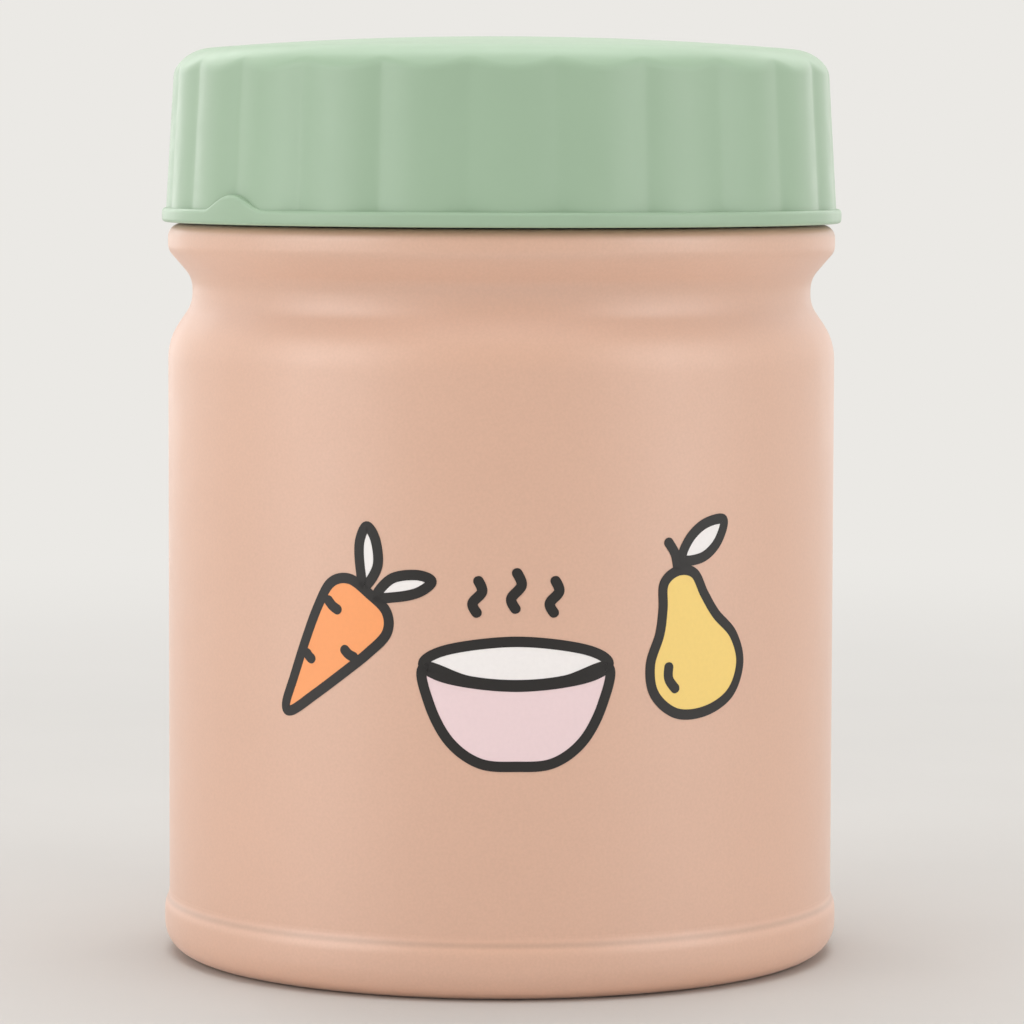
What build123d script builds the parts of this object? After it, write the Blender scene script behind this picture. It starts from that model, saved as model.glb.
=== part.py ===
"""Vacuum insulated food jar with a click-open screw lid.

Millimetres, +Z up. The origin is the centre of the base ring, on the surface that the jar stands on, and
-Y is the front. The jar stands closed: its lid is screwed down and the valve is on its seat.
"""

import math
import os

from build123d import *

# ---- Jar: outside -------------------------------------------------------------------------------
body_radius = 44.0  # straight wall of the shell
shoulder_height = 96.35  # top of the shoulder, under the lid
shoulder_round = 1.75
shoulder_width = 4.6  # from the straight wall in to the neck
shell_wall = 0.5

waist_depth = 3.2  # grip groove under the shoulder
waist_drop = 7.15  # from the shoulder down to the groove's floor
waist_floor = 3.35  # height of that floor, before its corners are rounded
waist_lower_flank = 4.7  # height of each sloped side
waist_upper_flank = 3.7
waist_lower_outer_round = 8.2
waist_lower_inner_round = 4.3
waist_upper_inner_round = 3.7
waist_upper_outer_round = 2.0

neck_height = 15.45  # from the shoulder to the rim
rim_round = 1.0

# ---- Jar: base ----------------------------------------------------------------------------------
base_sheet = 0.5  # painted cup over the shell's foot
base_fit = 0.1  # between the cup and the shell
base_band_height = 7.1
base_edge_round = 3.5
base_ring_width = 2.6  # flat ring that the jar stands on
base_recess_depth = 1.6
base_recess_slope = 1.5
shell_foot_clearance = 0.1  # from the cup's rounded edge to the shell's foot

vacuum_base_sheet = 0.6
vacuum_base_height = 8.0  # top of the disc's outer part
vacuum_base_step = 1.0  # its middle stands higher
vacuum_base_rim = 15.5  # from the shell's wall in to the middle
port_radius = 1.0
port_dimple_radius = 5.0
port_dimple_depth = 1.0
port_glass_depth = 0.9

# ---- Jar: inner bottle and vacuum space ---------------------------------------------------------
liner_wall = 0.4
neck_vacuum_gap = 2.0
waist_vacuum_gap = 1.3
floor_vacuum_gap = 4.0
liner_floor_round = 9.0
mouth_depth = 11.4  # from the rim down to the sealing step
seal_step = 1.7  # the step's width
seal_step_height = 1.8
throat_height = 1.4
liner_shoulder_height = 5.2
liner_shoulder_round = 4.0

foil = 0.15
foil_gap = 0.1
foil_wrap_margin = 2.0  # below the inner bottle's shoulder
foil_disc_gap = 2.7  # round the getter's cup
getter_radius = 5.0
getter_thickness = 1.2
getter_cup_wall = 0.3
getter_lip = 0.8

# ---- Lid: outer cap -----------------------------------------------------------------------------
lid_gap = 0.2  # from the shoulder up to the lid's rim
bead_overhang = 0.8  # the rim bead stands out past the jar
bead_height = 1.9
bead_step = 0.54  # and past the skirt
bead_round = 0.4
lobe_count = 24  # grip lobes round the skirt
lobe_turn = 2.0  # degrees from the front to the first lobe's middle
crease_depth = 0.5  # of the creases between the lobes
skirt_draft = 3.4  # degrees
ridge_inset = 4.5  # from the skirt's top edge in to the ridge round the top
bevel_drop = 2.15  # from the ridge down to that edge
bevel_bulge = 0.35
crown = 1.45  # the middle of the top above the ridge
top_edge_share = 0.16  # rounding of that edge, as a share of a lobe's width
bump_angle = -50.5  # degrees from the front, positive towards +X
bump_width = 12.6
bump_height = 1.9
lid_wall = 1.75  # behind the creases
lid_top_wall = 2.35

# ---- Lid: fit between the cap and the inner lid -------------------------------------------------
click_rise = 2.5  # the cap rises this far before it takes the inner lid along
click_slack = 0.1
flange_gap = 0.3  # from the jar's rim up to the inner lid's flange
flange_thickness = 1.9
flange_clearance = 0.6  # from the flange to the cap's wall
head_room = 3.1  # from the flange up to the cap's ceiling
press_gap = 0.1
press_ring_wall = 1.2
press_ring_inset = 1.4  # in from the jar's neck
lug_count = 6
lug_angle = 14.0  # degrees
lug_height = 1.2
lug_clearance = 0.4  # from the lugs to the jar's neck
lug_root = 0.4  # sunk into the cap's wall

# ---- Inner lid ----------------------------------------------------------------------------------
inner_lid_wall = 1.6
plug_depth = 16.2  # from the rim down to the plug's floor
plug_clearance = 1.1  # in the mouth
throat_clearance = 0.6
gasket_groove_height = 4.4
gasket_groove_depth = 2.2
plug_edge_round = 1.5
foam_gap = 0.3
well_radius = 7.6
well_wall = 1.4
vent_radius = 2.2
seat_radius = 4.2
guide_width = 1.6  # two ribs in the well that keep the valve from turning
guide_reach = 1.3

gasket_clearance = 0.35  # from the lip to the mouth
gasket_play = 0.1
gasket_body = 1.9
gasket_lip_thickness = 0.6

# ---- Valve --------------------------------------------------------------------------------------
boss_bore = 4.1
boss_wall = 1.7
boss_drop = 7.0  # from the flange's top down to the boss's end
snap_depth = 0.6
snap_height = 1.3
snap_lift = 2.0  # from the boss's end up to its groove
running_gap = 0.05
valve_play = 0.1
valve_disc_clearance = 0.7
valve_disc_thickness = 1.8
valve_neck_radius = 3.2
valve_neck_length = 2.0
spigot_radius = 2.0
spigot_length = 2.6
spigot_barb = 0.5
spigot_barb_height = 0.8
tip_radius = 4.4
seat_clearance = 0.3

# ---- Worked out: jar ----------------------------------------------------------------------------
waist_radius = body_radius - waist_depth
waist_high = shoulder_height - waist_drop
waist_low = waist_high - waist_floor
neck_radius = body_radius - shoulder_width
rim_z = shoulder_height + neck_height
shell_foot = base_edge_round + shell_foot_clearance
base_radius = body_radius + base_fit + base_sheet
base_recess_radius = base_radius - base_edge_round - base_ring_width - base_recess_slope
middle_z = vacuum_base_height + vacuum_base_step
liner_floor = middle_z + floor_vacuum_gap + liner_wall
liner_radius = waist_radius - shell_wall - waist_vacuum_gap - liner_wall
lip_radius = neck_radius - shell_wall - neck_vacuum_gap
mouth_radius = lip_radius - liner_wall
throat_radius = mouth_radius - seal_step
step_z = rim_z - mouth_depth
throat_z = step_z - seal_step_height
liner_shoulder_z = throat_z - throat_height - liner_shoulder_height
liner_underside = liner_floor - liner_wall

# ---- Worked out: lid ----------------------------------------------------------------------------
lid_foot = shoulder_height + lid_gap
bead_top = lid_foot + bead_height
bead_radius = body_radius + bead_overhang
skirt_radius = bead_radius - bead_step
flange_low = rim_z + flange_gap
flange_top = flange_low + flange_thickness
ceiling_z = flange_top + head_room
ridge_z = ceiling_z + lid_top_wall
lid_top = ridge_z + crown
edge_z = ridge_z - bevel_drop
draft = math.tan(math.radians(skirt_draft))
edge_radius = skirt_radius - (edge_z - bead_top) * draft
ridge_radius = edge_radius - ridge_inset
top_edge_round = top_edge_share * 2 * math.pi * edge_radius / lobe_count
cavity_foot = skirt_radius - crease_depth - lid_wall
lug_radius = neck_radius + lug_clearance
lug_top = flange_low - click_rise - click_slack
plug_floor = rim_z - plug_depth
plug_radius = mouth_radius - plug_clearance
plug_tip_radius = throat_radius - throat_clearance
groove_top = step_z + seal_step_height + 1.0
groove_low = groove_top - gasket_groove_height
groove_radius = plug_radius - gasket_groove_depth
boss_end = flange_top - boss_drop
boss_radius = boss_bore + boss_wall
well_floor = plug_floor + 2 * inner_lid_wall


def cavity_radius(height):
    """Radius of the cap's inner wall at a height."""
    return cavity_foot - (height - bead_top) * draft


def turned(*corners):
    """Solid turned about Z. Each corner is (radius, height) or (radius, height, rounding)."""
    points = [corner[:2] for corner in corners]
    rounds = [corner[2] if len(corner) > 2 else 0.0 for corner in corners]
    outline = FilletPolyline(*points, radius=rounds, close=True)
    return revolve(make_face(Plane.XZ * outline), Axis.Z)


def pressed(wall, side, *corners):
    """Pressed sheet turned about Z. Its outer line runs through the corners, its wall lies on one side."""
    points = [corner[:2] for corner in corners]
    rounds = [corner[2] if len(corner) > 2 else 0.0 for corner in corners[1:-1]]
    line = FilletPolyline(*points, radius=rounds)
    sheet = offset(line, wall, kind=Kind.INTERSECTION, side=side)
    return revolve(make_face(Plane.XZ * sheet), Axis.Z)


def ring(inner, outer, low, high):
    """Plain ring about Z."""
    return turned((inner, low), (outer, low), (outer, high), (inner, high))


def disc(radius, low, high):
    """Plain disc about Z."""
    return Pos(0, 0, low) * Cylinder(radius, high - low, align=(Align.CENTER, Align.CENTER, Align.MIN))


# ---- Jar pieces ---------------------------------------------------------------------------------
def outer_shell():
    """Steel shell: straight wall, grip groove, shoulder, neck and turned-in lip."""
    return pressed(
        shell_wall,
        Side.LEFT,
        (body_radius, shell_foot),
        (body_radius, waist_low - waist_lower_flank, waist_lower_outer_round),
        (waist_radius, waist_low, waist_lower_inner_round),
        (waist_radius, waist_high, waist_upper_inner_round),
        (body_radius, waist_high + waist_upper_flank, waist_upper_outer_round),
        (body_radius, shoulder_height, shoulder_round),
        (neck_radius, shoulder_height),
        (neck_radius, rim_z, rim_round),
        (lip_radius, rim_z),
    )


def inner_bottle():
    """Food bottle: rounded floor, straight wall, throat, sealing step and mouth."""
    return pressed(
        liner_wall,
        Side.RIGHT,
        (0, liner_floor),
        (liner_radius, liner_floor, liner_floor_round),
        (liner_radius, liner_shoulder_z, liner_shoulder_round),
        (throat_radius, throat_z - throat_height),
        (throat_radius, throat_z),
        (mouth_radius, step_z),
        (mouth_radius, rim_z),
    )


def vacuum_base():
    """Disc that closes the vacuum space, with a turned-down flange and a dimple round the port."""
    flange_radius = body_radius - shell_wall
    middle = flange_radius - vacuum_base_rim
    return pressed(
        vacuum_base_sheet,
        Side.LEFT,
        (flange_radius, shell_foot),
        (flange_radius, vacuum_base_height),
        (middle + vacuum_base_step, vacuum_base_height),
        (middle, middle_z),
        (port_dimple_radius + port_dimple_depth, middle_z),
        (port_dimple_radius, middle_z + port_dimple_depth),
        (port_radius, middle_z + port_dimple_depth),
    )


def port_glass():
    """Glass bead in the dimple, with a plug in the port."""
    ceiling = middle_z + port_dimple_depth - vacuum_base_sheet
    return turned(
        (0, ceiling - port_glass_depth),
        (port_dimple_radius - port_glass_depth, ceiling - port_glass_depth),
        (port_dimple_radius - vacuum_base_sheet, ceiling),
        (port_radius, ceiling),
        (port_radius, middle_z + port_dimple_depth),
        (0, middle_z + port_dimple_depth),
    )


def base_cover():
    """Cup over the shell's foot: rounded edge, standing ring and shallow recess."""
    return pressed(
        base_sheet,
        Side.RIGHT,
        (base_radius, base_band_height),
        (base_radius, 0, base_edge_round),
        (base_recess_radius + base_recess_slope, 0),
        (base_recess_radius, base_recess_depth),
        (0, base_recess_depth),
    )


def foil_wrap():
    """Foil round the straight wall of the inner bottle."""
    inner = liner_radius + liner_wall + foil_gap
    high = liner_shoulder_z - liner_shoulder_round - foil_wrap_margin
    return ring(inner, inner + foil, liner_floor + liner_floor_round, high)


def foil_disc():
    """Foil under the inner bottle's floor, open round the getter."""
    high = liner_underside - foil_gap
    hole = getter_radius + getter_cup_wall + foil_disc_gap
    return ring(hole, liner_radius - liner_floor_round, high - foil, high)


def getter_cup():
    """Cup welded under the inner bottle, with a flange that holds the pellet."""
    outer = getter_radius + getter_cup_wall
    low = liner_underside - getter_thickness - getter_cup_wall
    cup = ring(getter_radius, outer, low, liner_underside)
    return cup + ring(getter_radius - getter_lip, outer, low, low + getter_cup_wall)


def getter_pellet():
    """Gas absorbing pellet between the cup's flange and the inner bottle."""
    return disc(getter_radius, liner_underside - getter_thickness, liner_underside)


# ---- Outer lid ----------------------------------------------------------------------------------
def lobed_face(height):
    """Cross-section of the skirt at a height: one convex arc for each grip lobe, creases between."""
    middle = skirt_radius - (height - bead_top) * draft
    crease = middle - crease_depth
    pitch = 360 / lobe_count
    arcs = []
    for lobe in range(lobe_count):
        angle = lobe_turn - 90 + lobe * pitch
        start, top, end = (
            (radius * math.cos(math.radians(turn)), radius * math.sin(math.radians(turn)))
            for radius, turn in ((crease, angle - pitch / 2), (middle, angle), (crease, angle + pitch / 2))
        )
        arcs.append(ThreePointArc(start, top, end))
    return Pos(0, 0, height) * make_face(arcs)


def crown_form():
    """Everything below the lid's top surface: dome, ridge and sloped shoulder."""
    reach = bead_radius + ridge_inset
    slope = bevel_drop / ridge_inset
    middle = (ridge_radius + ridge_inset / 2, ridge_z - bevel_drop / 2 + bevel_bulge)
    dome = TangentArc((0, lid_top), (ridge_radius, ridge_z), tangent=(1, 0))
    bevel = ThreePointArc((ridge_radius, ridge_z), middle, (edge_radius, edge_z))
    foot = edge_z - (reach - edge_radius) * (slope + 4 * bevel_bulge / ridge_inset)
    rest = Polyline((edge_radius, edge_z), (reach, foot), (reach, lid_foot), (0, lid_foot), (0, lid_top))
    return revolve(Plane.XZ * make_face([dome, bevel, rest]), Axis.Z)


def cap_cavity():
    """Hollow of the cap, under a ceiling that follows the dome."""
    low = lid_foot - bead_height
    return turned(
        (0, low),
        (cavity_radius(low), low),
        (cavity_radius(ceiling_z), ceiling_z),
        (ridge_radius - ridge_inset, ceiling_z),
        (boss_radius, ceiling_z + crown),
        (0, ceiling_z + crown),
    )


def alignment_bump():
    """Bell-shaped rise of the bead's upper edge."""
    half = bump_width / 2
    outline = Spline((-half, 0), (0, bump_height), (half, 0), tangents=[(1, 0), (1, 0)])
    foot = Polyline((-half, 0), (-half, -bead_height / 2), (half, -bead_height / 2), (half, 0))
    face = make_face(outline.edges() + foot.edges())
    bell = extrude(Plane.XZ * face, body_radius + bead_radius)
    band = ring(cavity_foot + lid_wall / 2, bead_radius, lid_foot, bead_top + bump_height + bead_round)
    return (Rot(0, 0, bump_angle) * Pos(0, 0, bead_top) * bell) & band


def snap_lugs():
    """Lugs inside the cap that take the inner lid's flange along, sloped below for snapping in."""
    outer = cavity_radius(lug_top) + lug_root
    low = lug_top - lug_height
    whole = turned(
        (lug_radius, low),
        (outer, low - lug_height),
        (outer, lug_top),
        (lug_radius, lug_top),
    )
    half = math.radians(lug_angle / 2)
    reach = 2 * outer
    wedge_face = make_face(
        Polyline(
            (0, 0),
            (reach * math.cos(half), -reach * math.sin(half)),
            (reach * math.cos(half), reach * math.sin(half)),
            (0, 0),
        )
    )
    wedge = extrude(Pos(0, 0, low - lug_height) * wedge_face, 2 * lug_height)
    lug = whole & wedge
    return [Rot(0, 0, turn * 360 / lug_count) * lug for turn in range(lug_count)]


def cap_boss():
    """Hollow centre boss, with the groove that the valve snaps into."""
    tube = ring(boss_bore, boss_radius, boss_end, ceiling_z + crown + lid_top_wall / 2)
    low = boss_end + snap_lift
    return tube - ring(0, boss_bore + snap_depth, low, low + snap_height)


def lid_cap():
    """Outer lid: lobed skirt under a domed top, rim bead with its bump, and the parts moulded inside."""
    skirt = loft([lobed_face(lid_foot + bead_round), lobed_face(lid_top + crown)], ruled=True)
    shell = skirt & crown_form()
    scallops = [edge for edge in shell.edges() if abs(edge.center().Z - edge_z) < crease_depth]
    shell = fillet(scallops, top_edge_round)
    bead = turned(
        (cavity_foot, lid_foot),
        (bead_radius, lid_foot, bead_round),
        (bead_radius, bead_top, bead_round),
        (cavity_foot, bead_top),
    )
    shell = shell + bead + alignment_bump() - cap_cavity()
    press_radius = neck_radius - press_ring_inset
    press_ring = ring(
        press_radius - press_ring_wall, press_radius, flange_top + press_gap, ceiling_z + lid_top_wall / 2
    )
    shell = shell + press_ring + cap_boss()
    for lug in snap_lugs():
        shell = shell + lug
    return shell


# ---- Inner lid ----------------------------------------------------------------------------------
def inner_lid_cover():
    """Flange and valve well in one, with the vent's seat in the well's floor."""
    flange_radius = cavity_radius(flange_top) - flange_clearance
    well_outer = well_radius + well_wall
    cover = turned(
        (vent_radius, plug_floor + inner_lid_wall),
        (well_outer, plug_floor + inner_lid_wall),
        (well_outer, flange_low),
        (flange_radius, flange_low),
        (flange_radius, flange_top),
        (well_radius, flange_top),
        (well_radius, well_floor),
        (seat_radius, well_floor),
        (vent_radius, well_floor - inner_lid_wall / 2),
    )
    rib = Pos(well_radius, 0, well_floor) * Box(
        2 * guide_reach,
        guide_width,
        flange_low - well_floor,
        align=(Align.CENTER, Align.CENTER, Align.MIN),
    )
    inside = disc(well_radius + well_wall / 2, well_floor, flange_low)
    return cover + (rib & inside) + (Rot(0, 0, 180) * rib & inside)


def inner_lid_cup():
    """Plug that reaches into the mouth, with the gasket's groove and the vent in its floor."""
    floor = plug_floor + inner_lid_wall
    groove_wall = groove_radius - inner_lid_wall
    return turned(
        (vent_radius, plug_floor),
        (plug_tip_radius, plug_floor, plug_edge_round),
        (plug_tip_radius, groove_low),
        (groove_radius, groove_low),
        (groove_radius, groove_top),
        (plug_radius, groove_top),
        (plug_radius, flange_low),
        (plug_radius - inner_lid_wall, flange_low),
        (plug_radius - inner_lid_wall, groove_top + inner_lid_wall),
        (groove_wall, groove_top + inner_lid_wall),
        (groove_wall, floor),
        (vent_radius, floor),
    )


def inner_lid_foam():
    """Insulation round the well, stepped like the plug."""
    inner = well_radius + well_wall + foam_gap
    lower = groove_radius - inner_lid_wall - foam_gap
    upper = plug_radius - inner_lid_wall - foam_gap
    step = groove_top + inner_lid_wall + foam_gap
    return turned(
        (inner, plug_floor + inner_lid_wall + foam_gap),
        (lower, plug_floor + inner_lid_wall + foam_gap),
        (lower, step),
        (upper, step),
        (upper, flange_low - foam_gap),
        (inner, flange_low - foam_gap),
    )


def lid_gasket():
    """Silicone ring in the plug's groove, with a lip towards the sealing step."""
    low = groove_low + gasket_play
    high = groove_top - gasket_play
    lip = mouth_radius - gasket_clearance
    lip_z = step_z + gasket_lip_thickness
    return turned(
        (groove_radius, low),
        (throat_radius - gasket_clearance, low),
        (lip, lip_z),
        (lip, lip_z + gasket_lip_thickness),
        (groove_radius + gasket_body, lip_z + 2 * gasket_lip_thickness),
        (groove_radius + gasket_body, high),
        (groove_radius, high),
    )


# ---- Valve --------------------------------------------------------------------------------------
def valve_levels():
    """Heights of the valve's disc, neck and spigot, from the boss's end down."""
    disc_top = boss_end - valve_play
    disc_low = disc_top - valve_disc_thickness
    neck_low = disc_low - valve_neck_length
    return disc_top, disc_low, neck_low, neck_low - spigot_length


def valve_stem():
    """Valve: pin and snap collar in the cap's boss, guided disc, neck and spigot for the tip."""
    disc_top, disc_low, neck_low, spigot_low = valve_levels()
    pin = boss_bore - running_gap
    collar = pin + snap_depth
    snap_low = boss_end + snap_lift + valve_play
    snap_high = snap_low + snap_height - 2 * valve_play
    disc_radius = well_radius - valve_disc_clearance
    stem = turned(
        (0, spigot_low),
        (spigot_radius, spigot_low),
        (spigot_radius + spigot_barb, spigot_low + spigot_barb_height),
        (spigot_radius, spigot_low + spigot_barb_height),
        (spigot_radius, neck_low),
        (valve_neck_radius, neck_low),
        (valve_neck_radius, disc_low),
        (disc_radius, disc_low),
        (disc_radius, disc_top),
        (pin, disc_top),
        (pin, snap_low),
        (collar, snap_low),
        (collar, snap_low + (snap_high - snap_low) / 2),
        (pin, snap_high),
        (pin, ceiling_z - press_gap),
        (0, ceiling_z - press_gap),
    )
    slot = Pos(well_radius, 0, disc_low) * Box(
        2 * (guide_reach + valve_disc_clearance / 2),
        guide_width + valve_disc_clearance,
        valve_disc_thickness,
        align=(Align.CENTER, Align.CENTER, Align.MIN),
    )
    return stem - slot - Rot(0, 0, 180) * slot


def valve_gasket():
    """Silicone tip on the spigot, its cone just clear of the vent's seat."""
    _, _, neck_low, spigot_low = valve_levels()
    seat_z = well_floor + seat_clearance
    tip = turned(
        (0, well_floor - inner_lid_wall / 2 + seat_clearance),
        (vent_radius, well_floor - inner_lid_wall / 2 + seat_clearance),
        (seat_radius, seat_z + seat_clearance / 2),
        (tip_radius, seat_z + seat_clearance),
        (tip_radius, neck_low),
        (0, neck_low),
    )
    return tip - valve_stem()


PIECES = (
    outer_shell,
    inner_bottle,
    vacuum_base,
    port_glass,
    base_cover,
    foil_wrap,
    foil_disc,
    getter_cup,
    getter_pellet,
    lid_cap,
    inner_lid_cover,
    inner_lid_cup,
    inner_lid_foam,
    lid_gasket,
    valve_stem,
    valve_gasket,
)

if __name__ == "__main__":
    os.makedirs("parts", exist_ok=True)
    for piece in PIECES:
        export_step(piece(), f"parts/{piece.__name__}.step")
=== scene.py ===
"""Looks of an insulated food jar with a click-open screw lid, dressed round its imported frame.

Sizes are in millimetres and become metres in the meshes. Angles round the jar are measured from the
front, -Y, towards +X, so a growing angle is the way the lid unscrews.
"""

import logging
import math
from collections.abc import Sequence
from dataclasses import dataclass
from enum import Enum

import bpy
import numpy as np
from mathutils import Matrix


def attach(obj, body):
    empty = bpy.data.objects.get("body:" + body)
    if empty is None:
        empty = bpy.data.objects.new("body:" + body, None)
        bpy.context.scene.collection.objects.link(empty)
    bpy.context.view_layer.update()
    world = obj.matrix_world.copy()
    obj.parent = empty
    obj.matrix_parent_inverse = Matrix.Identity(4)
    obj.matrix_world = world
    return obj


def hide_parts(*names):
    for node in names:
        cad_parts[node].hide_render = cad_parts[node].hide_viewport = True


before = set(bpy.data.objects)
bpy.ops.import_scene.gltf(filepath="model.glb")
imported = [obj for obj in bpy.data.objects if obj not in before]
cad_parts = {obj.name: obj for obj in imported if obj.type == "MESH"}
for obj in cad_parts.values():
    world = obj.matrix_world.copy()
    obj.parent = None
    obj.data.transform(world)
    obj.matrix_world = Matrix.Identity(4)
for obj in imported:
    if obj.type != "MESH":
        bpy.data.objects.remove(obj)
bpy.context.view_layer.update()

LOG = logging.getLogger("food_jar")
MM = 0.001
FULL_TURN = 2 * math.pi
SAME_POINT = 1e-6  # points closer than this many millimetres are one
NOISE_LOW, NOISE_HIGH = 0.3, 0.7  # values between which most of a noise lies
ARC_STEPS, ARC_GROWTH = 1.6, 2.0  # steps in a radian of rounding, plus some by its radius's root
MIX_SHARE, MIX_FIRST, MIX_SECOND, MIX_RESULT = 0, 6, 7, 2  # sockets of a Mix node for colours

Array = np.ndarray
Colour = tuple[float, float, float]
Place = tuple[float, float, float]
Corner = tuple[float, ...]
Line = tuple[tuple[float, float], ...]


class Body(Enum):
    """Bodies of the frame that pieces ride on."""

    JAR = "jar"
    INNER_LID = "inner_lid"
    CAP = "cap"


class Slot(Enum):
    """Material slots that the finishes name."""

    PAINT = "shell_paint"
    STEEL = "bottle_steel"
    GLASS = "port_glass"
    FOIL = "foil"
    GETTER = "getter"
    LID = "lid_plastic"
    INNER_LID = "inner_lid_plastic"
    VALVE = "valve_plastic"
    SILICONE = "silicone"
    FOAM = "foam"


# ---- Materials ----------------------------------------------------------------------------------
def linear(colour: Colour, shade: float = 1.0) -> tuple[float, float, float, float]:
    """Turns an sRGB colour into linear light, by the sRGB curve.

    Args:
        colour: red, green and blue from 0 to 255.
        shade: factor on the linear light.

    Returns:
        Red, green, blue and an alpha of 1.
    """
    share = np.asarray(colour, float) / 255
    light = np.where(share <= 0.04045, share / 12.92, ((share + 0.055) / 1.055) ** 2.4) * shade
    return (*(float(part) for part in light), 1.0)


class Graph:
    """Node tree of one material, with the patterns that the finishes share."""

    def __init__(self, name: str, tree: bpy.types.NodeTree | None = None) -> None:
        """Starts an empty material, or clears the node tree that it is given.

        Args:
            name: the material's name.
            tree: node tree of the world, where the nodes are not a material's.
        """
        if tree is None:
            self.material = bpy.data.materials.new(name)
            self.material.use_nodes = True
            tree = self.material.node_tree
        self.tree = tree
        self.tree.nodes.clear()
        self.place = self.add("ShaderNodeTexCoord").outputs["Object"]

    def add(self, kind: str, sockets: dict | None = None, **settings: object) -> bpy.types.Node:
        """Adds a node.

        Args:
            kind: Blender's name for the kind of node.
            sockets: by name or number, the values or the other nodes' outputs that go in.
            **settings: the node's own settings.

        Returns:
            The node.
        """
        node = self.tree.nodes.new(kind)
        for key, value in settings.items():
            setattr(node, key, value)
        for key, value in (sockets or {}).items():
            if isinstance(value, bpy.types.NodeSocket):
                self.tree.links.new(value, node.inputs[key])
            else:
                node.inputs[key].default_value = value
        return node

    def noise(self, size: float, detail: float = 2.0, place: object = None) -> bpy.types.NodeSocket:
        """Soft noise from 0 to 1: the size of its lumps in millimetres, and its finer layers."""
        sockets = {"Vector": place or self.place, "Scale": 1 / (size * MM), "Detail": detail}
        return self.add("ShaderNodeTexNoise", sockets).outputs[0]

    def cells(self, size: float) -> bpy.types.NodeSocket:
        """Distance from the nearest of many scattered points, in cells of a size in millimetres."""
        sockets = {"Vector": self.place, "Scale": 1 / (size * MM)}
        return self.add("ShaderNodeTexVoronoi", sockets).outputs["Distance"]

    def rings(self, drift: float) -> bpy.types.NodeSocket:
        """Coordinates that hardly change round Z, so that noise on them looks turned or spun.

        Args:
            drift: share of the sideways place that is let in, so that no ring is quite even.

        Returns:
            Vector of radius, height and a little of X.
        """
        split = self.add("ShaderNodeSeparateXYZ", {0: self.place})
        flat = self.add("ShaderNodeCombineXYZ", {0: split.outputs[0], 1: split.outputs[1]})
        radius = self.add("ShaderNodeVectorMath", {0: flat.outputs[0]}, operation="LENGTH")
        side = self.maths("MULTIPLY", split.outputs[0], drift)
        sockets = {0: radius.outputs["Value"], 1: split.outputs[2], 2: side}
        return self.add("ShaderNodeCombineXYZ", sockets).outputs[0]

    def spread(self, factor: object, low: float, high: float) -> bpy.types.NodeSocket:
        """Spreads the middle part of a noise between two values."""
        span = {"From Min": NOISE_LOW, "From Max": NOISE_HIGH, "To Min": low, "To Max": high}
        return self.add("ShaderNodeMapRange", {"Value": factor, **span}).outputs[0]

    def tones(
        self, factor: object, colour: Colour, low: float, high: float
    ) -> bpy.types.NodeSocket:
        """Colour that drifts between a darker and a lighter tone of itself.

        Args:
            factor: noise that chooses between them.
            colour: the colour, from 0 to 255.
            low: factor for the darker tone.
            high: factor for the lighter tone.

        Returns:
            Colour output.
        """
        return self.blend(self.spread(factor, 0.0, 1.0), linear(colour, low), linear(colour, high))

    def blend(self, share: object, first: object, second: object) -> bpy.types.NodeSocket:
        """Blends two colours, the first at a share of 0 and the second at 1."""
        sockets = {MIX_SHARE: share, MIX_FIRST: first, MIX_SECOND: second}
        return self.add("ShaderNodeMix", sockets, data_type="RGBA").outputs[MIX_RESULT]

    def maths(self, operation: str, *values: object) -> bpy.types.NodeSocket:
        """Result of one operation on one or two values."""
        node = self.add("ShaderNodeMath", dict(enumerate(values)), operation=operation)
        return node.outputs[0]

    def seen(self) -> bpy.types.NodeSocket:
        """One for rays that show the surroundings: the camera's and those of gloss and glass.

        Returns:
            Output of 1 for those rays and of 0 for the others.
        """
        path = self.add("ShaderNodeLightPath").outputs
        mirrored = self.maths("MAXIMUM", path["Is Camera Ray"], path["Is Glossy Ray"])
        return self.maths("MAXIMUM", mirrored, path["Is Transmission Ray"])

    def bump(self, height: object, depth: float, normal: object = None) -> bpy.types.NodeSocket:
        """Bump from a height.

        Args:
            height: output from 0 to 1.
            depth: depth in millimetres.
            normal: normal of a coarser bump under it.

        Returns:
            Normal output.
        """
        sockets = {"Height": height, "Distance": depth * MM, "Strength": 1.0}
        if normal:
            sockets["Normal"] = normal
        return self.add("ShaderNodeBump", sockets).outputs[0]


@dataclass(frozen=True)
class Finish:
    """A finish, and the material that it makes.

    Attributes:
        name: the material's name.
        slot: material slot that it belongs to, or None for print; not used.
        colour: main colour, from 0 to 255.
        roughness: middle roughness.
    """

    name: str
    slot: Slot | None
    colour: Colour
    roughness: float

    def shader(self, graph: Graph) -> dict:
        """Sockets of the surface shader; each kind of finish has its own."""
        return {"Base Color": linear(self.colour)}

    def uneven(
        self, graph: Graph, factor: object, smoother: float, rougher: float
    ) -> bpy.types.NodeSocket:
        """Roughness that a noise takes a little below and above the middle one."""
        return graph.spread(factor, self.roughness - smoother, self.roughness + rougher)

    def material(self) -> bpy.types.Material:
        """Makes the material at its first use.

        Returns:
            The finish's one material.
        """
        known = bpy.data.materials.get(self.name)
        if known:
            return known
        graph = Graph(self.name)
        sockets = {"Roughness": self.roughness, **self.shader(graph)}
        surface = graph.add("ShaderNodeBsdfPrincipled", sockets)
        graph.add("ShaderNodeOutputMaterial", {"Surface": surface.outputs[0]})
        return graph.material


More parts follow.
